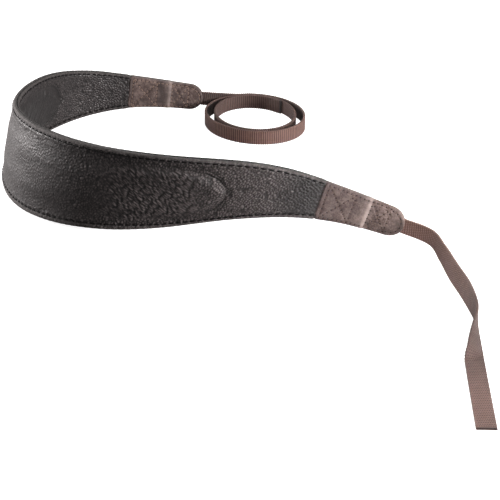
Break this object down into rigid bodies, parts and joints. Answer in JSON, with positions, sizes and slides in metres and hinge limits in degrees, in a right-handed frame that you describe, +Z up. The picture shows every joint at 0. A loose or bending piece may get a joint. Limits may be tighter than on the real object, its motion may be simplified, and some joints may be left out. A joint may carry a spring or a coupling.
{
  "type": "padded leather camera neck strap with a coiled webbing end",
  "caption": "Padded leather camera neck strap, bent round as for a neck, with leather tabs and narrow webbing ends, one laid out and one wound up.",
  "frame": {"origin": "on the floor under the middle of the strap's outline", "axes": "+Z up from the floor, +X to the right as seen from the near arm, +Y away from the laid-out webbing end towards the coil"},
  "size_m": [0.2844, 0.4194, 0.0581],
  "materials": {
    "leather": "pebbled, semi-matt",
    "nubuck": "brushed, matt",
    "webbing": "woven, ribbed across"
  },
  "bodies": {
    "root": {"outer_panel": "leather", "inner_panel": "leather", "tab_near_outer": "nubuck", "tab_near_inner": "nubuck", "tab_far_outer": "nubuck", "tab_far_inner": "nubuck", "webbing_near": "webbing", "webbing_far": "webbing"}
  },
  "joints": []
}
